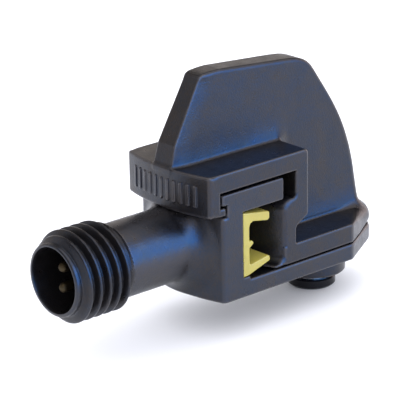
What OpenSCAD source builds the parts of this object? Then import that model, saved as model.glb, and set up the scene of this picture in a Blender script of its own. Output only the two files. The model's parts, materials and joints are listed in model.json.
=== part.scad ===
// Tap connector for flat two-core low-voltage garden cable.
// A turning clamp lever presses the cable into a cradle, onto two piercing
// needles that end as plug pins inside a threaded outlet tube.
// Origin: middle of the length, on the plane below the pivot screw head.
// X runs from the outlet mouth to the rear, Z is up.

/* [Body] */

// full width of housing and clamp (mm)
body_w = 26.6; // [20:0.1:40]
// thickness of the base plate (mm)
base_t = 3.8; // [2:0.1:8]
// outlet mouth to the front corners of the block (mm)
tube_reach = 35.4; // [20:0.1:60]
// height of the tube axis above the base underside (mm)
axis_h = 11.35; // [9:0.05:16]
// depth of the front block at its corners (mm)
block_d = 5.5; // [4:0.1:12]
// height of the front block (mm)
block_h = 19.4; // [14:0.1:26]
// angle of the tapered rear sides (deg)
taper_a = 30; // [10:1:45]
// radius of the rear nose (mm)
nose_r = 8; // [3:0.1:12]

/* [Outlet] */

// smooth tube radius (mm)
tube_r = 8.15; // [6:0.05:12]
// tube bore radius (mm)
bore_r = 7.1; // [5:0.05:11]
// outer radius of the thin rim at the mouth (mm)
mouth_r = 7.45; // [5.5:0.05:11]
// outer radius of the plain ring ahead of the thread (mm)
lead_r = 7.9; // [5.5:0.05:11]
// length of the rounded edge of that ring (mm)
lead_in = 0.7; // [0.3:0.1:2]
// root radius of the thread (mm)
thread_root_r = 8.4; // [6:0.05:12]
// thread crest radius (mm)
crest_r = 9.9; // [8:0.05:13]
// thread pitch (mm)
pitch = 2.5; // [1:0.1:4]
// number of thread crests
crests = 5; // [3:1:8]
// mouth to the first crest (mm)
thread_x = 2.6; // [1.5:0.1:6]
// radius of the fillet where tube meets block (mm)
root_fillet = 4.2; // [1:0.1:5]

/* [Pivot] */

// front corner of the block to the pivot axis (mm)
pivot_x = 38.1; // [25:0.1:50]
// radius of the boss below the base (mm)
boss_r = 7.6; // [5:0.1:10]
// height of that boss (mm)
boss_h = 5.4; // [2:0.1:10]
// radius of the bearing post above the base (mm)
post_r = 5; // [4:0.05:6]
// top of the bearing post above the base underside (mm)
post_z = 7; // [6:0.1:7.4]
// shoulder radius of the pivot screw (mm)
shank_r = 2.7; // [2:0.05:3.5]
// radius of the pivot screw head (mm)
head_r = 5.4; // [4:0.1:7]
// height of the pivot screw head (mm)
head_h = 2.3; // [1.5:0.1:4]

/* [Rail] */

// underside of the rail (mm above base underside)
rail_z0 = 19.4; // [14:0.1:26]
// underside of the front lip of the rail (mm)
rail_lip_z = 22; // [18:0.1:28]
// top of the rail (mm)
rail_z1 = 24.3; // [20:0.1:32]
// outer radius of the rail about the pivot (mm)
rail_r = 40.5; // [30:0.05:50]
// radius of the groove below the rail lip (mm)
groove_r = 39.2; // [30:0.05:50]
// inner radius of the rail (mm)
rail_in_r = 24.7; // [20:0.05:30]

/* [Clamp lever] */

// top of the clamp plate (mm)
plate_z1 = 29.05; // [26:0.05:36]
// underside of the clamp plate (mm)
plate_z0 = 24.9; // [22:0.05:32]
// bottom edge of the front hook (mm)
hook_z = 19.8; // [15:0.05:26]
// outer radius of the clamp front (mm)
hook_r = 43.8; // [34:0.05:55]
// inner radius of the front hook (mm)
hook_in_r = 41.06; // [32:0.05:52]
// inner radius of the hook lip (mm)
lip_r = 39.7; // [31:0.05:51]
// top of the hook lip (mm)
lip_z = 21.5; // [17:0.05:27]
// rear edge of the clamp plate (mm from the block corner)
plate_x1 = 24.7; // [18:0.1:34]
// front of the pillar (mm from the block corner)
pillar_x0 = 20.95; // [19:0.05:24]
// radius of the jaw face about the pivot (mm)
jaw_r = 24.35; // [18:0.05:28]
// underside of the clamp flange (mm)
flange_z0 = 4.1; // [3:0.05:8]
// top of the clamp flange (mm)
flange_z1 = 8.4; // [6:0.05:12]
// level of the top edge of the grip fin (mm above base underside)
fin_top = 47.75; // [35:0.1:70]
// angle between the front edge of the fin and the pivot axis (deg)
fin_lean = 29.4; // [10:0.1:45]
// number of grip ribs on the curved front
ribs = 11; // [3:2:13]
// distance between grip ribs (mm)
rib_pitch = 1.9; // [1.2:0.1:3]

/* [Contacts] */

// distance between the two contact axes (mm)
pin_gap = 4.5; // [3:0.1:8]
// needle radius (mm)
needle_r = 0.7; // [0.4:0.05:1.2]
// plug pin radius (mm)
plug_r = 1.1; // [0.6:0.05:1.6]
// needle tip, measured back from the block corners (mm)
tip_x = 11.2; // [8:0.1:14]

/* [Hidden] */

$fn = 96;
// curves about the pivot need finer facets
fine = 240;
w = body_w/2;
nose_cx = pivot_x + (cos(taper_a)*w - nose_r)/sin(taper_a);
nose_tx = nose_cx + nose_r*sin(taper_a);
nose_ty = nose_r*cos(taper_a);
front_r = sqrt(pivot_x*pivot_x + w*w);
bush_r = 3.58;
hub_bore_r = post_r + 0.06;
insert_r = 2.9;
insert_z0 = post_z+0.45;
insert_z1 = insert_z0+7.95;
screw_r = 2;
ring_groove_r = bore_r+0.35;
// half widths of a thread crest at its foot and at its tip
foot_w = 0.82;
crest_w = 0.28;
carrier_x0 = 21;
carrier_x1 = 27.4;
seal_x = 24.1;
bore_end = 31.5;
needle_x0 = 24.7;
plug_x0 = 1.8;
seat_r = plug_r+0.4;
collar_r = plug_r+0.8;
total_l = tube_reach + nose_cx + nose_r;
foot_h = boss_h + 1.2 + head_h;
pocket_x0 = 20.9;
pocket_y = 5.2;
// half thickness of the fin at the flange, at the plate and on top
hub_w = 4.1;
fin_w = 3.7;
crown_w = 3.05;
// flat front face of the fin: a point on it and its half width
brow_x = -4.1;
brow_z = 33.6;
brow_w = 2.6;
rib_w = 0.9;
rib_h = 4.8;
rib_z = 24.4;
seal_r = 7.2;

function bez(a, b, c, d, t) =
    pow(1-t, 3)*a + 3*pow(1-t, 2)*t*b + 3*(1-t)*t*t*c + t*t*t*d;

// shape of revolution round the tube axis: profile points are [radius, x]
module xrev() rotate([0, 90, 0]) rotate_extrude() children();

// outlet coordinates: x from the mouth, z from the tube axis
module outlet() translate([-total_l/2, 0, foot_h+axis_h]) children();

// body coordinates: x from the block corners, z from the base underside
module seat() outlet() translate([tube_reach, 0, -axis_h]) children();

// pivot coordinates: x = 0 on the pivot axis, z from the base underside
module on_pivot() seat() translate([pivot_x, 0, 0]) children();

// rear part of the plan outline, with tapered sides and round nose
module tail() {
    polygon([[pivot_x-1, -w], [pivot_x, -w], [nose_tx, -nose_ty],
             [nose_tx, nose_ty], [pivot_x, w], [pivot_x-1, w]]);
    translate([nose_cx, 0]) circle(r = nose_r);
}

// plan outline from the curved front to the nose
module plan(r) {
    intersection() {
        union() {
            translate([-8, -w]) square([pivot_x+8, 2*w]);
            tail();
        }
        translate([pivot_x, 0]) circle(r = r, $fn = fine);
    }
}

// band between two radii about the pivot, cut to the body width
module band(r_in, r_out) {
    intersection() {
        translate([pivot_x, 0]) difference() {
            circle(r = r_out, $fn = fine);
            circle(r = r_in, $fn = fine);
        }
        translate([-8, -w]) square([pivot_x+8, 2*w]);
    }
}

module tube_skin() {
    root_end = thread_x + (crests-1)*pitch + 1.2;
    // rounded lead-in, thread root and smooth tube
    xrev() polygon(concat([[0, 0]],
        [for (i = [0:6]) [mouth_r + (lead_r-mouth_r)*sin(i*15),
                          lead_in*(1-cos(i*15))]],
        [[lead_r, thread_x-1], [thread_root_r, thread_x-0.3],
         [thread_root_r, root_end], [tube_r, root_end+0.6],
         [tube_r, tube_reach+2], [0, tube_reach+2]]));
    // thread crests as closed ridges
    for (i = [0:crests-1]) translate([thread_x + i*pitch, 0, 0])
        xrev() polygon([[6, -foot_w], [8.3, -foot_w], [crest_r, -crest_w],
                        [crest_r, crest_w], [8.3, foot_w], [6, foot_w]]);
}

// concave flare between the tube and the curved front of the block
module root_flare() {
    x0 = tube_reach - 2.1 - root_fillet;
    intersection() {
        xrev() polygon(concat([[0, x0], [0, x0+6], [tube_r+root_fillet, x0+6]],
            [for (i = [0:8]) [tube_r + root_fillet*(1-cos((90-i*11.25))),
                              x0 + root_fillet*sin(90-i*11.25)]]));
        translate([x0-1, -w, -axis_h]) cube([root_fillet+5, 2*w, block_h]);
    }
}

module needle_holes() {
    for (s = [-1, 1]) translate([bore_end-1, 0, s*pin_gap/2]) rotate([0, 90, 0]) {
        cylinder(r = needle_r+0.05, h = 14);
        translate([0, 0, tube_reach+3.4-bore_end+1]) cylinder(r = 1.72, h = 4);
    }
}

module housing() color([0.13, 0.13, 0.15]) {
    difference() {
        union() {
            seat() {
                linear_extrude(base_t) plan(front_r);
                linear_extrude(block_h) intersection() {
                    plan(front_r);
                    translate([-8, -w]) square([8+block_d, 2*w]);
                }
                // ledge that carries the cradle
                translate([block_d-0.5, -w, 0]) cube([2.5, 2*w, 4.5]);
                // arc rail that the clamp hooks over
                translate([0, 0, rail_z0-0.5])
                    linear_extrude(rail_z1-rail_z0+0.5) intersection() {
                        band(rail_in_r, groove_r);
                        translate([-8, -w]) square([8+block_d, 2*w]);
                    }
                translate([0, 0, rail_z0])
                    linear_extrude(rail_z1-rail_z0) band(rail_in_r, groove_r);
                translate([0, 0, rail_lip_z])
                    linear_extrude(rail_z1-rail_lip_z) band(rail_in_r, rail_r);
            }
            on_pivot() {
                translate([0, 0, -boss_h]) cylinder(r = boss_r, h = boss_h+1);
                cylinder(r = post_r, h = post_z);
            }
            outlet() {
                tube_skin();
                root_flare();
            }
        }
        // outlet bore and the groove for the retaining ring
        outlet() rotate([0, 90, 0]) {
            translate([0, 0, -1]) cylinder(r = bore_r, h = bore_end+1);
            translate([0, 0, carrier_x0-0.95]) cylinder(r = ring_groove_r, h = 0.9);
        }
        outlet() needle_holes();
        // sockets for the two pegs of the cradle
        for (s = [-1, 1]) seat() translate([block_d-2.2, s*8.5, axis_h])
            rotate([0, 90, 0]) cylinder(r = 1.03, h = 4);
        // bearing bore
        on_pivot() translate([0, 0, -boss_h-1]) cylinder(r = bush_r+0.02, h = 30);
    }
}

// side view of the grip fin and hub: brow, crown, shoulder and back
fin_side = concat(
    [[-5.3, plate_z1-1], [-5.3, plate_z1+0.25], [brow_x, brow_z]],
    [for (i = [0:8]) [bez(2.9, 3.6, 5.2, 9, i/8),
                      bez(fin_top-1.75, fin_top-0.45, fin_top+0.2, fin_top, i/8)]],
    [for (i = [0:8]) [bez(27, 30.8, 34.2, 36.3, i/8),
                      bez(fin_top-1.55, fin_top-1.95, fin_top-2.05, fin_top-5.55, i/8)]],
    [for (i = [1:20]) [bez(36.3, 41.3, 50, 49.1, i/20),
                       bez(fin_top-5.55, 34.4, 23.7, flange_z1-1, i/20)]],
    [[24, flange_z1-1], [24, plate_z1-1]]);

module fin() {
    intersection() {
        rotate([90, 0, 0]) translate([0, 0, -20]) linear_extrude(40) polygon(fin_side);
        // plan wedge with rounded rear corners
        linear_extrude(60) union() {
            polygon([[-6, -fin_w+0.4], [24, -fin_w], [30, -hub_w], [47.3, -hub_w],
                     [47.3, hub_w], [30, hub_w], [24, fin_w], [-6, fin_w-0.4]]);
            for (s = [-1, 1]) translate([47.3, s*(hub_w-2)]) circle(r = 2);
            translate([47, -hub_w+2]) square([2.3, 2*hub_w-4]);
        }
        // draft in height
        rotate([90, 0, 90]) translate([0, 0, -10]) linear_extrude(80)
            polygon([[-hub_w, 4], [hub_w, 4], [fin_w, plate_z1], [crown_w, 48.5],
                     [-crown_w, 48.5], [-fin_w, plate_z1]]);
        // narrow flat face along the leaning front edge
        translate([brow_x, 0, brow_z]) rotate([0, fin_lean, 0]) translate([0, 0, -40])
            linear_extrude(80) polygon([[-4, -brow_w], [0, -brow_w], [3.8, -fin_w],
                [4, -10], [70, -10], [70, 10], [4, 10], [3.8, fin_w],
                [0, brow_w], [-4, brow_w]]);
    }
}

// plain ribs that give the thumb a grip on the curved front
module grip_ribs() {
    half = (ribs-1)/2;
    for (i = [-half:half]) translate([pivot_x, 0, rib_z-rib_h/2])
        rotate(i*rib_pitch/hook_r*180/PI)
            translate([-hook_r-0.2, -rib_w/2, 0]) cube([1, rib_w, rib_h]);
}

module jaw_profile() {
    // [radius from the pivot, height]: face, lower ramp and rounded top edge
    polygon(concat([[10, flange_z0], [26.7, flange_z0], [26.7, flange_z0+0.25],
                    [jaw_r, 6.2], [jaw_r, 16.4]],
        [for (i = [1:6]) [jaw_r-2.5+2.5*cos(i*15), 16.4+2.5*sin(i*15)]],
        [[10, 18.9]]));
}

module clamp_lever() color([0.14, 0.14, 0.16]) seat() {
    difference() {
        union() {
            // top plate, hook and lip
            translate([0, 0, plate_z0]) linear_extrude(plate_z1-plate_z0)
                intersection() {
                    translate([pivot_x, 0]) circle(r = hook_r, $fn = fine);
                    translate([-8, -w]) square([8+plate_x1, 2*w]);
                }
            translate([0, 0, hook_z]) linear_extrude(plate_z0-hook_z+0.5)
                band(hook_in_r, hook_r);
            translate([0, 0, hook_z]) linear_extrude(lip_z-hook_z)
                band(lip_r, hook_in_r+0.5);
            // pillar behind the rail
            translate([pillar_x0, -w, 18])
                cube([plate_x1-pillar_x0, 2*w, plate_z0-18+0.5]);
            // jaw
            intersection() {
                translate([pivot_x, 0, 0]) rotate_extrude($fn = fine) jaw_profile();
                translate([0, -w, 0]) cube([plate_x1, 2*w, 30]);
            }
            // flange that turns on the base plate
            translate([0, 0, flange_z0]) linear_extrude(flange_z1-flange_z0)
                intersection() {
                    plan(jaw_r);
                    translate([18, -w]) square([60, 2*w]);
                }
            fin();
            grip_ribs();
        }
        // side pockets behind the jaw
        for (s = [-1, 1]) mirror([0, s > 0 ? 1 : 0, 0])
            translate([0, -w-1, 0]) rotate([90, 0, 0]) mirror([0, 0, 1])
                linear_extrude(w+1-pocket_y) polygon([[pocket_x0, flange_z1],
                    [26, flange_z1], [26, 15.1], [pocket_x0, 12.3]]);
        // hub bore, insert seat and seal groove
        translate([pivot_x, 0, 0]) {
            translate([0, 0, 3]) cylinder(r = hub_bore_r, h = post_z+0.35-3);
            cylinder(r = insert_r+0.03, h = insert_z1+0.5);
            translate([0, 0, flange_z0-1]) difference() {
                cylinder(r = seal_r+0.8, h = 2.35);
                cylinder(r = seal_r-0.8, h = 2.35);
            }
        }
    }
}

module cable_cradle() color([0.88, 0.83, 0.43]) seat() difference() {
    union() {
        translate([0, w-0.1, 0]) rotate([90, 0, 0]) linear_extrude(2*w-0.2) polygon([
            [5.55, 4.55], [7.2, 4.75], [13.2, 6.6], [13.1, 7.6], [12.6, 7.8],
            [7.9, 7.0], [7.35, 7.3], [7.3, 10.7], [8.4, 11.5], [8.5, 11.9],
            [8.1, 12.3], [7.3, 12.3], [7.3, 15.4], [7.6, 16.2], [8.4, 16.6],
            [12.6, 15.8], [13.1, 16.2], [13.1, 17.6], [12.7, 17.8], [5.55, 19]]);
        for (s = [-1, 1]) translate([block_d-1.9, s*8.5, axis_h])
            rotate([0, 90, 0]) cylinder(r = 1, h = 3);
    }
    for (s = [-1, 1]) translate([4, 0, axis_h + s*pin_gap/2])
        rotate([0, 90, 0]) cylinder(r = needle_r+0.05, h = 6);
}

module needle(s) color([0.80, 0.62, 0.30]) outlet() translate([0, 0, s*pin_gap/2]) {
    x1 = tube_reach + tip_x;
    xrev() polygon([[0, needle_x0], [needle_r-0.1, needle_x0], [needle_r, needle_x0+0.2],
                    [needle_r, x1-2], [0.08, x1-0.05], [0, x1]]);
}
module needle_upper() needle(1);
module needle_lower() needle(-1);

module plug_pin(s) color([0.83, 0.66, 0.33]) outlet()
    translate([0, 0, s*pin_gap/2]) difference() {
        xrev() polygon(concat([[0, plug_x0]],
            [for (i = [1:6]) [plug_r*sin(i*15), plug_x0+plug_r*(1-cos(i*15))]],
            [[plug_r, carrier_x0+0.05], [seat_r, carrier_x0+0.05],
             [seat_r, carrier_x1+0.05], [collar_r, carrier_x1+0.05],
             [collar_r, carrier_x1+0.9], [seat_r, carrier_x1+0.9],
             [seat_r, carrier_x1+1.4], [0, carrier_x1+1.4]]));
        translate([needle_x0-0.2, 0, 0]) rotate([0, 90, 0])
            cylinder(r = needle_r+0.02, h = 6);
    }
module plug_pin_upper() plug_pin(1);
module plug_pin_lower() plug_pin(-1);

module pin_carrier() color([0.20, 0.20, 0.22]) outlet() difference() {
    r = bore_r-0.05;
    x1 = seal_x-0.6;
    x2 = seal_x+0.6;
    xrev() polygon([[0, carrier_x0], [r-0.35, carrier_x0], [r, carrier_x0+0.35],
                    [r, x1], [r-0.9, x1], [r-0.9, x2], [r, x2],
                    [r, carrier_x1], [0, carrier_x1]]);
    for (s = [-1, 1]) translate([carrier_x0-1, 0, s*pin_gap/2])
        rotate([0, 90, 0]) cylinder(r = seat_r+0.02, h = 9);
    // moulding relief pockets
    for (s = [-1, 1]) translate([carrier_x0-1, s*4.4, 0])
        rotate([0, 90, 0]) cylinder(r = 1.3, h = 3);
}

module carrier_seal() color([0.08, 0.08, 0.08]) outlet()
    xrev() translate([bore_r-0.47, seal_x]) circle(r = 0.44);

module retaining_ring() color([0.62, 0.63, 0.65]) outlet() difference() {
    translate([carrier_x0-0.9, 0, 0]) rotate([0, 90, 0]) difference() {
        cylinder(r = ring_groove_r-0.05, h = 0.8);
        translate([0, 0, -1]) cylinder(r = bore_r-0.9, h = 3);
    }
    translate([carrier_x0-2, -1.4, -9]) cube([4, 2.8, 6]);
}

module sealing_plug() color([0.10, 0.10, 0.11]) outlet() difference() {
    xrev() polygon([[0, carrier_x1+0.05], [bore_r-0.05, carrier_x1+0.05],
                    [bore_r-0.05, bore_end-0.05], [0, bore_end-0.05]]);
    for (s = [-1, 1]) translate([carrier_x1-1, 0, s*pin_gap/2]) rotate([0, 90, 0]) {
        cylinder(r = needle_r+0.03, h = 9);
        cylinder(r = collar_r+0.03, h = 2.45);
    }
}

module needle_seal(s) color([0.09, 0.09, 0.09])
    outlet() translate([tube_reach+3.45, 0, s*pin_gap/2]) rotate([0, 90, 0]) difference() {
        cylinder(r = 1.69, h = 2);
        translate([0, 0, -1]) cylinder(r = needle_r+0.03, h = 5);
    }
module needle_seal_upper() needle_seal(1);
module needle_seal_lower() needle_seal(-1);

module pivot_bush() color([0.85, 0.84, 0.80]) on_pivot() difference() {
    translate([0, 0, -boss_h+0.05]) cylinder(r = bush_r, h = post_z+boss_h-0.1);
    translate([0, 0, -boss_h-1]) cylinder(r = shank_r+0.05, h = 30);
}

module thrust_washer() color([0.66, 0.67, 0.69]) on_pivot() difference() {
    translate([0, 0, -boss_h-0.55]) cylinder(r = 5.1, h = 0.5);
    translate([0, 0, -boss_h-1]) cylinder(r = shank_r+0.1, h = 3);
}

module spring_washer() color([0.60, 0.61, 0.63]) on_pivot() difference() {
    translate([0, 0, -boss_h-1.15]) cylinder(r = 4.6, h = 0.55);
    translate([0, 0, -boss_h-2]) cylinder(r = shank_r+0.1, h = 3);
    translate([-0.35, 0, -boss_h-2]) rotate([0, 0, 12]) cube([0.7, 8, 3]);
}

module pivot_screw() color([0.07, 0.07, 0.08]) on_pivot() difference() {
    z0 = -boss_h-1.2-head_h;
    rotate_extrude() polygon([[0, z0], [head_r-0.5, z0], [head_r, z0+0.5],
        [head_r, z0+head_h-0.3], [head_r-0.3, z0+head_h], [shank_r, z0+head_h],
        [shank_r, post_z+0.25], [screw_r, post_z+0.25], [screw_r, insert_z1-1],
        [screw_r-0.4, insert_z1-0.6], [0, insert_z1-0.6]]);
    translate([0, 0, z0-1]) linear_extrude(2.6) circle(r = 2.3, $fn = 6);
}

module threaded_insert() color([0.78, 0.62, 0.32]) on_pivot() difference() {
    z0 = insert_z0;
    z1 = insert_z1;
    rotate_extrude() polygon([[1.8, z0], [insert_r, z0], [insert_r, z0+2.8],
        [insert_r-0.4, z0+3.1], [insert_r-0.4, z1-3.3], [insert_r, z1-3],
        [insert_r, z1-0.4], [insert_r-0.3, z1], [1.8, z1]]);
    translate([0, 0, z0-1]) cylinder(r = screw_r+0.03, h = z1-z0+2);
}

module flange_seal() color([0.08, 0.08, 0.08]) on_pivot()
    rotate_extrude() translate([seal_r, 4.6]) circle(r = 0.76);

housing();
clamp_lever();
cable_cradle();
needle_upper();
needle_lower();
plug_pin_upper();
plug_pin_lower();
pin_carrier();
carrier_seal();
retaining_ring();
sealing_plug();
needle_seal_upper();
needle_seal_lower();
pivot_bush();
thrust_washer();
spring_washer();
pivot_screw();
threaded_insert();
flange_seal();
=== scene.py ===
import json
import math

import bpy
import numpy as np
from mathutils import Matrix, Vector


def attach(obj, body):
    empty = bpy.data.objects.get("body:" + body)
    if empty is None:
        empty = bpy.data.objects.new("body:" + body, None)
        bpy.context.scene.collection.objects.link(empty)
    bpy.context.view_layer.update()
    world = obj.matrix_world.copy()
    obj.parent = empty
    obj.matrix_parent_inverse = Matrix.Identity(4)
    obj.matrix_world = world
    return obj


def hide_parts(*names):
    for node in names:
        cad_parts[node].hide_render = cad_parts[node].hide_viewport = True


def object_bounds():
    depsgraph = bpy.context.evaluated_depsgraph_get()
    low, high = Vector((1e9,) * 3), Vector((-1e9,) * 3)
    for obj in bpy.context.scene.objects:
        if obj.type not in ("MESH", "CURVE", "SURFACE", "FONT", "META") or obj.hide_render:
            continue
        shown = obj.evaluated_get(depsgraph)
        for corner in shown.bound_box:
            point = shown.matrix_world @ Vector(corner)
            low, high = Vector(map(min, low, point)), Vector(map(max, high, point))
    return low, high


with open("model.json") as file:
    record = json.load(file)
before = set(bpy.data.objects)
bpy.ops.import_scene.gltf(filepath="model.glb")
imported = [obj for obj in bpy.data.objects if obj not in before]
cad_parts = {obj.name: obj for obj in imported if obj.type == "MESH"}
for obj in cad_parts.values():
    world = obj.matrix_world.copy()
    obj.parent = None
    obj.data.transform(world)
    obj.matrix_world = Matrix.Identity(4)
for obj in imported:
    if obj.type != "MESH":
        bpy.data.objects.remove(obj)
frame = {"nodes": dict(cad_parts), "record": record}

cad_lo, cad_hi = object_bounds()

# ---------------------------------------------------------------- sizes, mm
# Seat coordinates: x = 0 at the block's front corners (tube towards -x),
# y = 0 in the middle, z = 0 at the underside of the base plate.
MM = 0.001
TUBE_REACH = 35.4
FOOT_H = 8.9
ORIGIN = np.array([cad_lo.x / MM + TUBE_REACH, 0.0, FOOT_H])

HALF_W = 13.3
BASE_T = 3.8
BLOCK_X1 = 5.5
BLOCK_Z1 = 19.4
AXIS_Z = 11.35
PIVOT_X = 38.1
FRONT_R = math.hypot(PIVOT_X, HALF_W)
TAPER = math.radians(30)
NOSE_R = 8.0
NOSE_X = PIVOT_X + (math.cos(TAPER) * HALF_W - NOSE_R) / math.sin(TAPER)

# outlet tube; lengths along it run from its mouth
TUBE_R = 8.15
BORE_R = 7.1
BORE_END = 31.5
LINER_R = 7.6
ROOT_FILLET = 4.2
MOUTH_R = 7.45
LEAD_R = 7.9
LEAD_IN = 0.7
ROOT_R = 8.4
CREST_R = 9.87
CREST_HALF_W = 0.24
FLANK_ANGLE = math.radians(19)
PITCH = 2.5
THREAD_X = 2.43
THREAD_END = 15.0
RING_GROOVE_R, RING_GROOVE_X0, RING_GROOVE_X1 = 7.45, 20.1, 20.95

# rail on the block, and the boss and post at the pivot
RAIL_Z0, RAIL_LIP_Z, RAIL_Z1 = 19.4, 22.0, 24.3
RAIL_IN, GROOVE_R, RAIL_R = 24.7, 39.2, 40.5
BOSS_R, BOSS_Z = 7.6, -5.4
POST_R, POST_Z = 5.0, 7.0
PIVOT_BORE_R = 3.6

# clamp: radii are measured from the pivot
PLATE_Z0, PLATE_Z1, PLATE_X1 = 24.9, 29.05, 24.7
HOOK_Z, HOOK_R, HOOK_IN = 19.8, 43.8, 41.06
LIP_R, LIP_Z = 39.7, 21.5
PILLAR_X0, JAW_R, JAW_Z1 = 20.95, 24.35, 18.9
FLANGE_Z0, FLANGE_Z1 = 4.1, 8.4
TOE_R = 26.7
POCKET_X, POCKET_Y = 20.9, 5.2
POCKET_Z, POCKET_SLOPE, POCKET_SCALE = 12.3, 0.55, 1.14
RIB_PITCH, RIB_HALF_W, RIBS_HALF_SPAN = 1.9, 0.45, 10.2
RIB_Z, RIB_HALF_H, RIB_RELIEF = 24.4, 2.4, 0.22
INSERT_R, INSERT_Z1 = 2.9, 15.4
SEAL_GROOVE_IN, SEAL_GROOVE_OUT, SEAL_GROOVE_Z = 6.4, 8.0, 5.45

# grid pitch of each meshed piece
BODY_PITCH = 0.3
CLAMP_PITCH = 0.32
CRADLE_PITCH = 0.2
NEWTON_STEPS = 4


# ------------------------------------------------------- distance functions
def rmax(a, b, r):
    """Intersection of two fields, its edge rounded to radius r."""
    return np.minimum(-r, np.maximum(a, b)) + np.hypot(
        np.maximum(a + r, 0), np.maximum(b + r, 0))


def rmin(a, b, r):
    """Union of two fields with a fillet of radius r between them."""
    return -rmax(-a, -b, r)


def ramp(v, a, b):
    """0 below a, 1 above b, smooth between."""
    t = np.clip((v - a) / (b - a), 0, 1)
    return t * t * (3 - 2 * t)


def slab(v, lo, hi):
    return np.maximum(lo - v, v - hi)


def polygon(u, v, points):
    """Signed distance to a closed polygon in the plane (u, v)."""
    best = np.full(u.shape, 1e9)
    inside = np.zeros(u.shape, bool)
    for i in range(len(points)):
        ax, ay = points[i - 1]
        bx, by = points[i]
        ex, ey = bx - ax, by - ay
        wx, wy = u - ax, v - ay
        t = np.clip((wx * ex + wy * ey) / (ex * ex + ey * ey), 0, 1)
        best = np.minimum(best, (wx - ex * t) ** 2 + (wy - ey * t) ** 2)
        cross = (ay > v) != (by > v)
        if ey:
            inside ^= cross & (u < ax + ex * (v - ay) / ey)
    return np.sqrt(best) * np.where(inside, -1, 1)


def inset(points, r):
    """Polygon moved inwards by r, so that growing it again rounds its corners."""
    pts = np.array(points, float)
    prev, nxt = np.roll(pts, 1, 0), np.roll(pts, -1, 0)

    def normal(d):
        n = np.stack([d[:, 1], -d[:, 0]], 1)
        return n / np.linalg.norm(n, axis=1)[:, None]

    n1, n2 = normal(pts - prev), normal(nxt - pts)
    area = np.sum(pts[:, 0] * nxt[:, 1] - nxt[:, 0] * pts[:, 1])
    shift = (n1 + n2) / (1 + np.sum(n1 * n2, 1))[:, None]
    return pts - math.copysign(r, area) * shift


def pivot_radius(x, y):
    return np.hypot(x - PIVOT_X, y)


def tail(x, y):
    """Plan of the tapered rear: two facets and the nose between them."""
    qx, qy = x - NOSE_X, np.abs(y)
    facet = qx * math.sin(TAPER) + qy * math.cos(TAPER)
    in_nose = qy < qx / math.tan(TAPER)
    return np.where(in_nose, np.hypot(qx, qy), facet) - NOSE_R


def plan(x, y, r_front, r_edge):
    """Plan outline shared by base plate and clamp flange."""
    sides = rmax(np.abs(y) - HALF_W, tail(x, y), 0.3)
    return rmax(sides, pivot_radius(x, y) - r_front, r_edge)


def seam_edge(x):
    """Edge radius at the seam between base plate and flange, softer at the rear."""
    return 0.5 + 0.7 * ramp(x, 42, 50)


def body_field(p):
    x, y, z = p
    r = pivot_radius(x, y)
    side = np.abs(y) - HALF_W
    # base plate
    base = rmax(plan(x, y, FRONT_R, 0.8), -z, 0.5)
    base = rmax(base, z - BASE_T, seam_edge(x))
    # front block, with a rounded top front edge
    block = rmax(side, r - FRONT_R, 0.8)
    block = rmax(block, -z, 0.5)
    block = rmax(block, z - BLOCK_Z1, 0.8)
    block = rmax(block, x - BLOCK_X1, 0.25)
    ledge = rmax(rmax(side, slab(x, 4, 7.5), 0.3), slab(z, 1, 4.5), 0.3)
    # rail that the clamp hooks over
    rail_side = rmax(side, slab(r, RAIL_IN, GROOVE_R), 0.25)
    rail = rmax(rail_side, slab(z, RAIL_Z0, RAIL_Z1), 0.25)
    neck = rmax(rmax(rail_side, x - BLOCK_X1, 0.25), slab(z, 15, RAIL_Z1), 0.25)
    lip = rmax(rmax(side, slab(r, 30, RAIL_R), 0.3), slab(z, RAIL_LIP_Z, RAIL_Z1), 0.25)
    rail = np.minimum(np.minimum(rail, neck), lip)
    # tube, with its root flare kept below the hook
    tube = np.hypot(y, z - AXIS_Z) - TUBE_R
    tube = np.maximum(tube, slab(x, THREAD_END - TUBE_REACH, 3))
    flare = rmax(rmin(tube, block, ROOT_FILLET), z - BLOCK_Z1, 0.4)
    d = np.minimum(np.minimum(base, flare), tube)
    d = np.minimum(np.minimum(d, ledge), rail)
    # boss and bearing post
    d = rmin(d, rmax(r - BOSS_R, slab(z, BOSS_Z, 2), 0.5), 0.4)
    d = np.minimum(d, rmax(r - POST_R, slab(z, 1, POST_Z), 0.3))
    d = np.maximum(d, PIVOT_BORE_R - r)
    # room for the outlet liner
    liner = np.maximum(np.hypot(y, z - AXIS_Z) - LINER_R, x - BORE_END + TUBE_REACH)
    return np.maximum(d, -liner)


def bezier(a, b, c, e, steps):
    """Points of a cubic curve from a to e, with b and c as its handles."""
    t = np.arange(steps + 1)[:, None] / steps
    a, b, c, e = map(np.array, (a, b, c, e))
    return list(map(tuple, (1 - t) ** 3 * a + 3 * (1 - t) ** 2 * t * b
                    + 3 * (1 - t) * t * t * c + t ** 3 * e))


# fin and hub seen from the side, as (x, z)
FIN_SIDE = (
    [(-5.3, PLATE_Z1 - 1), (-5.3, PLATE_Z1 + 0.25), (-4.1, 33.6)]
    + bezier((3.05, 46.4), (3.5, 47.45), (4.4, 47.78), (9, 47.75), 8)
    + bezier((27, 46.2), (30.8, 45.8), (34.2, 45.7), (36.3, 42.2), 8)
    + bezier((36.3, 42.2), (41.3, 34.4), (50, 23.7), (49.1, 7.4), 20)[1:]
    + [(24, 7.4), (24, PLATE_Z1 - 1)]
)


def fin_front(x, z):
    """Distance behind the slanted front edge of the fin."""
    return x - np.interp(z, [PLATE_Z1, 33.6, 46], [-5.4, -4.1, 2.9])


def foot(height, reach):
    """1 at the foot, fading to 0 with height above it."""
    return np.exp(-(np.maximum(height, 0) / reach) ** 1.3)


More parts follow.
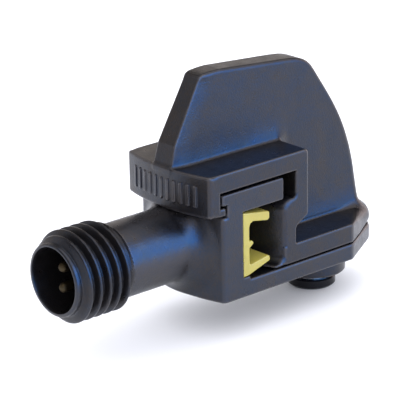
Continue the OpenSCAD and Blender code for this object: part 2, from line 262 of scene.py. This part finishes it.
def fin_half_width(x, z):
    """Half thickness of fin and hub: a drafted wedge with a flared foot."""
    full = np.interp(x, [2, 12, 24, 40], [2.75, 2.85, 3.0, 3.05])
    full = full + np.interp(z, [8, 29, 48], [0.92, 0.61, 0.0])
    # flared where it stands on the plate, and on the flange
    flare = np.interp(x, [2, 14, 24], [0.45, 0.5, 0.8]) * (1 - ramp(x, 23.5, 28))
    full = full + flare * foot(z - PLATE_Z1, 2.2)
    flare = np.interp(x, [30, 47], [0.9, 1.1])
    full = full + flare * foot(z - FLANGE_Z1, 3.0)
    # thinner towards the front edge
    nose = np.interp(z, [31, 45], [2.8, 2.35])
    front = 1 - np.clip(fin_front(x, z) / 4.6, 0, 1)
    return full - (full - nose) * front ** 2


def clamp_field(p):
    x, y, z = p
    r = pivot_radius(x, y)
    side = np.abs(y) - HALF_W
    # top plate and front hook
    plate = rmax(rmax(r - HOOK_R, z - PLATE_Z1, 0.5), x - PLATE_X1, 0.9)
    hook = rmax(rmax(plate, HOOK_IN - r, 0.3), HOOK_Z - z, 0.7)
    plate = rmax(plate, PLATE_Z0 - z, 0.25)
    lip = rmax(slab(r, LIP_R, HOOK_IN + 0.6), slab(z, HOOK_Z, LIP_Z), 0.25)
    # pillar, jaw and its lower toe
    pillar = np.maximum(slab(x, PILLAR_X0, PLATE_X1), slab(z, 15, 26))
    jaw = np.maximum(rmax(r - JAW_R, z - JAW_Z1, 2.5), FLANGE_Z0 - z)
    toe = np.maximum(rmax(r - TOE_R, z - FLANGE_Z0 - 0.5, 0.2), FLANGE_Z0 - z)
    jaw = rmax(rmin(jaw, toe, 2.2), FLANGE_Z0 - z, 0.25)
    jaw = rmax(rmin(pillar, jaw, 0.9), x - PLATE_X1, 0.3)
    frame_d = np.minimum(np.minimum(plate, hook), np.minimum(lip, jaw))
    # their common side planes, rounder at the front and along the jaw
    front_edge = ramp(r, HOOK_IN, HOOK_R - 0.9)
    inner_edge = (1 - ramp(r, JAW_R + 0.1, 27)) * (1 - ramp(z, 23.5, 25)) * ramp(r, 19, 20.5)
    d = rmax(frame_d, side, 0.4 + 0.45 * front_edge + 0.3 * inner_edge
             + 0.35 * ramp(x, PLATE_X1 - 1.6, PLATE_X1 - 0.6))
    # plain grip ribs on the curved front
    arc = np.arctan2(y, PIVOT_X - x) * HOOK_R
    rib = np.abs(arc - RIB_PITCH * np.round(arc / RIB_PITCH)) - RIB_HALF_W
    rib = rmax(rib, np.abs(z - RIB_Z) - RIB_HALF_H, 0.4)
    rib = rmax(rib, np.abs(arc) - RIBS_HALF_SPAN, 0.2)
    d = np.minimum(d, rmax(rib, slab(r, 42, HOOK_R + RIB_RELIEF), 0.15))
    # side pockets behind the jaw
    pocket_top = (z - POCKET_Z - POCKET_SLOPE * (x - POCKET_X)) / POCKET_SCALE
    pocket = rmax(POCKET_X - x, pocket_top, 0.6)
    pocket = rmax(rmax(pocket, FLANGE_Z1 - z, 0.3), POCKET_Y - np.abs(y), 0.3)
    d = rmax(d, -pocket, 0.35)
    # flange on the base plate
    top_edge = 0.35 + 2.6 * ramp(x, 38, 47)
    flange = rmax(plan(x, y, JAW_R, 0.3), z - FLANGE_Z1, top_edge)
    flange = rmax(rmax(flange, FLANGE_Z0 - z, seam_edge(x)), 17 - x, 0.3)
    d = np.minimum(d, flange)
    # hub and grip fin
    front = 1 - ramp(fin_front(x, z), 0.5, 3)
    edge = (2.0 - 1.15 * ramp(z, 14, 36)) * (1 - front) + 0.3 * front
    fin = rmax(np.abs(y) - fin_half_width(x, z), polygon(x, z, FIN_SIDE), edge)
    fillet = 0.7 + (1 - ramp(z, 14, 20)) * 1.1 * ramp(x, 40, 48)
    d = rmin(d, fin, fillet)
    # room for the bearing post, the insert and the flange seal
    d = np.maximum(d, -np.maximum(r - POST_R - 0.06, z - POST_Z - 0.35))
    d = np.maximum(d, -np.maximum(r - INSERT_R - 0.03, z - INSERT_Z1 - 0.5))
    groove = slab(r, SEAL_GROOVE_IN, SEAL_GROOVE_OUT)
    return np.maximum(d, -np.maximum(groove, z - SEAL_GROOVE_Z))


# section of the cradle, as (x, z): hooks above and below, and the nub between them
CRADLE = [
    (5.55, 4.55), (7.2, 4.75), (13.2, 6.6), (13.1, 7.6), (12.6, 7.8),
    (7.9, 7.0), (7.35, 7.3), (7.3, 10.7), (8.4, 11.5), (8.5, 11.9),
    (8.1, 12.3), (7.3, 12.3), (7.3, 15.4), (7.6, 16.2), (8.4, 16.6),
    (12.6, 15.8), (13.1, 16.2), (13.1, 17.6), (12.7, 17.8), (5.55, 19)]


def cradle_field(p):
    x, y, z = p
    section = polygon(x, z, inset(CRADLE, 0.15)) - 0.15
    return rmax(section, np.abs(y) - HALF_W + 0.1, 0.25)


# ---------------------------------------------------------- mesh from field
def gradient(field, p, eps=0.01):
    g = np.empty_like(p)
    for a in range(3):
        q = p.copy()
        q[a] += eps
        s = p.copy()
        s[a] -= eps
        g[a] = (field(q) - field(s)) / (2 * eps)
    return g


def surface_net(field, lo, hi, pitch, block=8):
    """Vertices and quads of the field's zero level, on a grid of that pitch."""
    lo = np.array(lo, float)
    nb = np.ceil((np.array(hi) - lo) / (pitch * block)).astype(int)
    cells = nb * block
    # keep only the blocks that the surface can pass through
    b = np.stack(np.meshgrid(*[np.arange(k) for k in nb], indexing="ij")).reshape(3, -1)
    mid = lo[:, None] + (b + 0.5) * block * pitch
    b = b[:, np.abs(field(mid)) < 1.5 * block * pitch * math.sqrt(3) / 2]
    o = np.arange(block + 1)
    local = np.stack(np.meshgrid(o, o, o, indexing="ij"))
    corner = (b * block)[:, :, None, None, None] + local[:, None]
    f = field(lo[:, None, None, None, None] + corner * pitch)
    neg = f < 0
    c = slice(0, block)
    n = slice(1, block + 1)
    count = np.zeros(neg[:, c, c, c].shape, int)
    for i in (c, n):
        for j in (c, n):
            for k in (c, n):
                count += neg[:, i, j, k]
    active = (count > 0) & (count < 8)
    at = corner[:, :, c, c, c][:, active]
    vert = np.zeros((3, at.shape[1]))
    hits = np.zeros(at.shape[1])
    cut = {}
    for axis in range(3):
        others = [a for a in range(3) if a != axis]
        for s in (0, 1):
            for t in (0, 1):
                low, high = [0, 0, 0], [0, 0, 0]
                low[others[0]] = high[others[0]] = s
                low[others[1]] = high[others[1]] = t
                high[axis] = 1
                f0 = f[(slice(None),) + tuple(slice(v, v + block) for v in low)]
                f1 = f[(slice(None),) + tuple(slice(v, v + block) for v in high)]
                change = (f0 < 0) != (f1 < 0)
                if s == 0 and t == 0:
                    cut[axis] = (corner[:, :, c, c, c][:, change], f0[change] < 0)
                f0, f1, change = f0[active], f1[active], change[active]
                w = np.where(change, f0 / np.where(change, f0 - f1, 1), 0)
                vert[others[0]] += np.where(change, s, 0)
                vert[others[1]] += np.where(change, t, 0)
                vert[axis] += w
                hits += change
    vert = lo[:, None] + (at + vert / hits) * pitch
    # move each vertex onto the exact surface, without leaving its cell by much
    home = vert.copy()
    leeway = 0.7 * pitch
    for _ in range(NEWTON_STEPS):
        g = gradient(field, vert)
        vert -= g * field(vert) / np.maximum(np.sum(g * g, 0), 0.05)
        vert = home + np.clip(vert - home, -leeway, leeway)
    key = (at[0] * cells[1] + at[1]) * cells[2] + at[2]
    order = np.argsort(key)
    key = key[order]
    # one quad round each grid edge that the surface cuts
    quads = []
    for axis, (pos, inward) in cut.items():
        u, v = [(1, 2), (2, 0), (0, 1)][axis]
        ring = []
        for du, dv in ((-1, -1), (0, -1), (0, 0), (-1, 0)):
            q = pos.copy()
            q[u] += du
            q[v] += dv
            k = (q[0] * cells[1] + q[1]) * cells[2] + q[2]
            ring.append(order[np.minimum(np.searchsorted(key, k), len(key) - 1)])
        ring = np.stack(ring, 1)
        quads.append(np.where(inward[:, None], ring, ring[:, ::-1]))
    return vert.T, np.concatenate(quads)


def to_world(v):
    return (np.asarray(v) + ORIGIN) * MM


def convexity(field, p, reach=0.35):
    """0 on flat and hollow places, up to 1 on sharp outer edges."""
    total = -6 * field(p)
    for a in range(3):
        for s in (-reach, reach):
            q = p.copy()
            q[a] += s
            total += field(q)
    return np.clip(total / reach, 0, 1)


def add_mesh(name, verts, faces, normals, edge, body, slot, *nodes):
    """New piece on that body; edge is the attribute that the materials read."""
    mesh = bpy.data.meshes.new(name)
    mesh.vertices.add(len(verts))
    mesh.vertices.foreach_set("co", np.asarray(verts, np.float32).ravel())
    faces = np.asarray(faces, np.int32)
    mesh.loops.add(faces.size)
    mesh.loops.foreach_set("vertex_index", faces.ravel())
    mesh.polygons.add(len(faces))
    size = faces.shape[1]
    mesh.polygons.foreach_set("loop_start", np.arange(0, faces.size, size, dtype=np.int32))
    mesh.update(calc_edges=True)
    mesh.validate()
    mesh.polygons.foreach_set("use_smooth", np.ones(len(mesh.polygons), bool))
    if normals is not None:
        mesh.normals_split_custom_set_from_vertices(np.asarray(normals).tolist())
    mesh.attributes.new("edge", "FLOAT", "POINT").data.foreach_set(
        "value", np.asarray(edge, np.float32))
    mesh.materials.append(SLOT_MATERIAL[slot])
    ob = bpy.data.objects.new(name, mesh)
    bpy.context.scene.collection.objects.link(ob)
    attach(ob, body)
    if nodes:
        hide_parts(*nodes)
    return ob


def field_piece(name, field, lo, hi, pitch, body, slot, *nodes):
    """Piece meshed from its field inside the box lo to hi."""
    verts, quads = surface_net(field, lo, hi, pitch)
    n = gradient(field, verts.T)
    n = (n / np.linalg.norm(n, axis=0)).T
    edge = convexity(field, verts.T)
    add_mesh(name, to_world(verts), quads, n, edge, body, slot, *nodes)


# ------------------------------------------------------------ threaded tube
def thread_radius(x, turn):
    """Outer radius of the outlet at x from the mouth; turn is 0 at -y, 0.25 at the top."""
    lead = MOUTH_R + (LEAD_R - MOUTH_R) * np.sqrt(
        np.clip(1 - (1 - np.clip(x / LEAD_IN, 0, 1)) ** 2, 0, 1))
    root = lead + (ROOT_R - LEAD_R) * ramp(x, 1.5, 2.3)
    root = root - 0.2 * ramp(x, THREAD_END - 0.9, THREAD_END)
    k = np.round((x - THREAD_X) / PITCH + turn)
    wound = k - turn
    off = np.abs(x - THREAD_X - wound * PITCH)
    flank = CREST_R - (off - CREST_HALF_W) / math.tan(FLANK_ANGLE)
    soft = 0.08
    ridge = -soft * np.logaddexp(-CREST_R / soft, -flank / soft)
    grow = ramp(wound, -0.5, -0.12) * (1 - ramp(wound, 4.45, 4.9))
    # the ridge rises out of the root at each end of the thread
    ridge = root + (ridge - root) * grow
    return soft * np.logaddexp(root / soft, ridge / soft) - 0.02


def make_sleeve():
    """Threaded end of the outlet and the liner of its bore, as rings joined by quads."""
    around = 192
    rows = 170
    rear = BORE_END - 0.3
    liner = LINER_R - 0.03
    # profile from the rear of the bore, out to the rounded mouth, then back outside
    bore = [(rear, BORE_R), (RING_GROOVE_X1 + 0.05, BORE_R)]
    bore += [(RING_GROOVE_X1, RING_GROOVE_R), (RING_GROOVE_X0, RING_GROOVE_R)]
    bore += [(x, BORE_R) for x in (RING_GROOVE_X0 - 0.05, 14, 8, 4, 1, 0.12)]
    mouth = [(0.03, 7.16), (0, 7.27), (0.03, 7.39)]
    outside = list(np.linspace(0.12, LEAD_IN, 16))
    outside += list(np.linspace(LEAD_IN, THREAD_END, rows)[1:])
    behind = [(THREAD_END, 7.9), (THREAD_END, liner), (rear, liner)]
    turn = np.arange(around) / around
    profile = [(x, np.full(around, r)) for x, r in bore + mouth]
    profile += [(x, thread_radius(np.full(around, x), turn)) for x in outside]
    profile += [(x, np.full(around, r)) for x, r in behind]
    x = np.stack([np.full(around, q[0]) for q in profile])
    r = np.stack([q[1] for q in profile])
    angle = 2 * np.pi * turn[None, :]
    verts = np.stack([x - TUBE_REACH, -r * np.cos(angle), AXIS_Z + r * np.sin(angle)], 2)
    count = len(profile)
    i, j = np.meshgrid(np.arange(count), np.arange(around), indexing="ij")
    i2, j2 = (i + 1) % count, (j + 1) % around
    quads = np.stack([i * around + j, i * around + j2, i2 * around + j2, i2 * around + j], 2)
    # negative over the thread, down to -1 in its hollows, where the material lowers the gloss as
    # painted shade
    threaded = ramp(x, 1.2, 2.0) * (1 - ramp(x, THREAD_END - 0.9, THREAD_END))
    edge = threaded * (0.65 * ramp(r, ROOT_R + 0.5, CREST_R - 0.05) - 1)
    ob = add_mesh("outlet_sleeve", to_world(verts.reshape(-1, 3)), quads.reshape(-1, 4),
                  None, edge.ravel(), "housing", "black_moulding")
    ob.data.set_sharp_from_angle(angle=math.radians(40))


# ---------------------------------------------------------------- materials
def material(name, base, rough, spec=0.5, metal=0.0, vary=0.25, grain=0.12, bump=0.25,
             scratch=0.0, wear=0.0, wear_color=None, hollow_shade=0.0, sheen=None, scatter=0.0):
    """Procedural material: mottled colour, grain (its size in mm) and uneven roughness.

    wear lightens the edges, by the edge attribute; where that attribute is negative, in the
    thread hollows, the gloss is lowered by the given fraction as painted shade.
    sheen tints the gloss bluish and, in random patches, warm: painted coloured light in the
    reflections; scatter lets light through.
    """
    mat = bpy.data.materials.new(name)
    mat.use_nodes = True
    nt = mat.node_tree
    node, link = nt.nodes, nt.links.new
    bsdf = node["Principled BSDF"]
    bsdf.inputs["Specular IOR Level"].default_value = spec
    bsdf.inputs["Metallic"].default_value = metal
    co = node.new("ShaderNodeTexCoord").outputs["Object"]

    def noise(size_mm, detail=3.0, source=co):
        n = node.new("ShaderNodeTexNoise")
        n.inputs["Scale"].default_value = 1 / (size_mm * MM)
        n.inputs["Detail"].default_value = detail
        link(source, n.inputs["Vector"])
        return n.outputs["Fac"]

    def remap(value, a, b, lo, hi):
        m = node.new("ShaderNodeMapRange")
        for key, v in zip(("From Min", "From Max", "To Min", "To Max"), (a, b, lo, hi)):
            m.inputs[key].default_value = v
        link(value, m.inputs["Value"])
        return m.outputs["Result"]

    def mix(fac, a, b):
        m = node.new("ShaderNodeMix")
        m.data_type = "RGBA"
        link(fac, m.inputs["Factor"])
        for key, v in (("A", a), ("B", b)):
            socket = [s for s in m.inputs if s.name == key and s.type == "RGBA"][0]
            if isinstance(v, tuple):
                socket.default_value = (*v, 1)
            else:
                link(v, socket)
        return [s for s in m.outputs if s.type == "RGBA"][0]

    def add_bump(strength, depth_mm, height):
        b = node.new("ShaderNodeBump")
        b.inputs["Strength"].default_value = strength
        b.inputs["Distance"].default_value = depth_mm * MM
        link(height, b.inputs["Height"])
        return b

    cloud = noise(2.4, 5)
    dark = tuple(c * (1 - vary) for c in base)
    light = tuple(min(1, c * (1 + vary)) for c in base)
    color = mix(remap(noise(3.0, 6), 0.35, 0.65, 0, 1), dark, light)
    color = mix(remap(noise(grain * 2.2, 2), 0.3, 0.7, 0, 0.5), color, light)
    if wear:
        attribute = node.new("ShaderNodeAttribute")
        attribute.attribute_name = "edge"
        mask = remap(attribute.outputs["Fac"], 0.15, 0.9, 0, wear)
        color = mix(mask, color, wear_color or light)
        # painted shade: less gloss where the edge attribute is negative, in the thread hollows
        if hollow_shade:
            hollow = remap(attribute.outputs["Fac"], -1, 0, spec * (1 - hollow_shade), spec)
            link(hollow, bsdf.inputs["Specular IOR Level"])
    link(color, bsdf.inputs["Base Color"])
    # painted light: the gloss is tinted bluish and warm in patches, in place of coloured light
    if sheen:
        patchy = mix(remap(noise(5.0, 4), 0.38, 0.62, 0, 1), *sheen)
        grainy = mix(remap(noise(0.45, 2), 0.35, 0.65, 0, 1), *sheen)
        link(mix(remap(cloud, 0.2, 0.8, 0.3, 0.8), patchy, grainy), bsdf.inputs["Specular Tint"])
    bsdf.inputs["Subsurface Weight"].default_value = scatter
    bsdf.inputs["Subsurface Radius"].default_value = (1.0, 0.85, 0.25)
    bsdf.inputs["Subsurface Scale"].default_value = 2.5 * MM
    link(remap(cloud, 0.3, 0.7, rough * 0.82, min(1, rough * 1.22)), bsdf.inputs["Roughness"])
    relief = add_bump(bump, 0.06, noise(grain, 3))
    if scratch:
        stretch = node.new("ShaderNodeMapping")
        stretch.inputs["Scale"].default_value = (0.06, 1, 1)
        link(co, stretch.inputs["Vector"])
        lines = add_bump(scratch, 0.03, noise(0.5, 4, stretch.outputs["Vector"]))
        link(relief.outputs["Normal"], lines.inputs["Normal"])
        relief = lines
    link(relief.outputs["Normal"], bsdf.inputs["Normal"])
    return mat


WEAR = (0.06, 0.055, 0.055)
# painted light: a bluish and a warm tint for the gloss, in place of coloured light
PAINTED_SHEEN = ((0.66, 0.86, 1.24), (1.06, 0.96, 0.94))
BLACK = material("black_moulding", (0.0055, 0.0048, 0.0050), 0.32, grain=0.35,
                 bump=0.9, wear=0.6, wear_color=WEAR, hollow_shade=0.5, sheen=PAINTED_SHEEN)
LEVER = material("black_lever", (0.0058, 0.0048, 0.0048), 0.32, spec=0.42, grain=0.35,
                 bump=0.9, wear=0.6, wear_color=WEAR, sheen=PAINTED_SHEEN)
YELLOW = material("yellow_moulding", (0.38, 0.33, 0.062), 0.45, vary=0.06, grain=0.3,
                  bump=0.12, scatter=0.4)
# painted shade: the brass is made almost black, as the pins sit in the shade inside the outlet
SHADED_BRASS = material("brass", (0.06, 0.047, 0.028), 0.5, metal=1.0, vary=0.25, grain=0.3,
                 bump=0.08, scratch=0.2)
STEEL = material("bright_steel", (0.55, 0.55, 0.56), 0.30, metal=1.0, vary=0.1, grain=0.3,
                 bump=0.08, scratch=0.25)
SCREW = material("black_screw", (0.004, 0.004, 0.006), 0.22, spec=0.25, vary=0.3, grain=0.4,
                 bump=0.06)
RUBBER = material("seal_rubber", (0.012, 0.012, 0.012), 0.65, vary=0.3, grain=0.2, bump=0.4)
INSULATOR = material("insulator", (0.035, 0.035, 0.040), 0.5, vary=0.2, grain=0.25, bump=0.2)
ACETAL = material("acetal", (0.68, 0.66, 0.60), 0.4, vary=0.05, grain=0.4, bump=0.1)

SLOT_MATERIAL = {
    "black_moulding": BLACK, "black_lever": LEVER, "yellow_moulding": YELLOW,
    "brass": SHADED_BRASS, "bright_steel": STEEL, "black_screw": SCREW,
    "seal_rubber": RUBBER, "insulator": INSULATOR, "acetal": ACETAL}

for row in frame["record"]["subparts"]:
    ob = frame["nodes"][row["node"]]
    ob.data.materials.clear()
    ob.data.materials.append(SLOT_MATERIAL[row["material_slot"]])

# ------------------------------------------------------------------- pieces
field_piece(
    "housing_body", body_field, (-22, -14.2, -6.4), (54.2, 14.2, 25.2), BODY_PITCH,
    "housing", "black_moulding", "housing")
make_sleeve()
field_piece(
    "clamp_grip", clamp_field, (-7, -14.2, 3.2), (54.2, 14.2, 50.2), CLAMP_PITCH,
    "clamp", "black_lever", "clamp_lever")
field_piece(
    "cradle", cradle_field, (4.8, -14, 3.8), (14, 14, 19.8), CRADLE_PITCH,
    "housing", "yellow_moulding", "cable_cradle")

# -------------------------------------------------------------------- stage
bpy.ops.mesh.primitive_plane_add(size=8, location=(0, 0, 0))
floor = bpy.context.object
floor.name = "floor"
pale = bpy.data.materials.new("floor")
pale.use_nodes = True
pale_inputs = pale.node_tree.nodes["Principled BSDF"].inputs
pale_inputs["Base Color"].default_value = (0.9, 0.9, 0.9, 1)
pale_inputs["Roughness"].default_value = 0.9
pale_inputs["Specular IOR Level"].default_value = 0.1
floor.data.materials.append(pale)

world = bpy.data.worlds.new("studio")
bpy.context.scene.world = world
world.use_nodes = True
sky = world.node_tree.nodes["Background"].inputs
sky["Color"].default_value = (0.92, 0.93, 1.0, 1)
sky["Strength"].default_value = 2.0
world.cycles_visibility.glossy = False

MIDDLE = Vector((0, 0, 0.028))


def area_light(name, toward, distance, size, radiance, color):
    """Soft panel in that direction from the object's middle; it only makes reflections."""
    data = bpy.data.lights.new(name, "AREA")
    data.shape = "RECTANGLE"
    data.size, data.size_y = size
    data.energy = radiance * math.pi * size[0] * size[1]
    data.color = color
    ob = bpy.data.objects.new(name, data)
    d = Vector(toward).normalized()
    ob.location = MIDDLE + d * distance
    ob.rotation_mode = "QUATERNION"
    ob.rotation_quaternion = d.to_track_quat("Z", "Y")
    ob.visible_diffuse = False
    bpy.context.scene.collection.objects.link(ob)


area_light("overhead", (-0.05, -0.35, 1), 0.9, (2.3, 1.6), 1.8, (1.0, 0.92, 0.86))
area_light("window", (0.17, -0.94, 0.36), 0.5, (0.74, 0.42), 7.5, (0.13, 0.42, 1.0))
area_light("warm_side", (1, -0.05, 0.12), 0.8, (0.5, 0.5), 3.0, (1.0, 0.80, 0.74))
area_light("back", (0, 1, 0.40), 0.9, (2.2, 0.65), 0.85, (1.0, 0.90, 0.84))

# ------------------------------------------------------------------- camera
# direction, roll, aim and distance of the main view
AZ, EL, ROLL = (math.radians(v) for v in (-41.27, 19.61, -1.01))
TARGET = Vector((-0.00379, 0, 0.02776))
DISTANCE = 0.5378
back = Vector((math.sin(AZ) * math.cos(EL), -math.cos(AZ) * math.cos(EL), math.sin(EL)))
right0 = Vector((math.cos(AZ), math.sin(AZ), 0))
up0 = back.cross(right0)
right = right0 * math.cos(ROLL) + up0 * math.sin(ROLL)
up = up0 * math.cos(ROLL) - right0 * math.sin(ROLL)
cam_data = bpy.data.cameras.new("camera")
cam_data.sensor_width = 36
cam_data.lens = 226.25
cam = bpy.data.objects.new("camera", cam_data)
cam.rotation_mode = "QUATERNION"
cam.rotation_quaternion = Matrix((right, up, back)).transposed().to_quaternion()
cam.location = TARGET + back * DISTANCE
cam_data.clip_start, cam_data.clip_end = 0.01, 20
bpy.context.scene.collection.objects.link(cam)
bpy.context.scene.camera = cam
bpy.context.scene.view_settings.view_transform = "Standard"
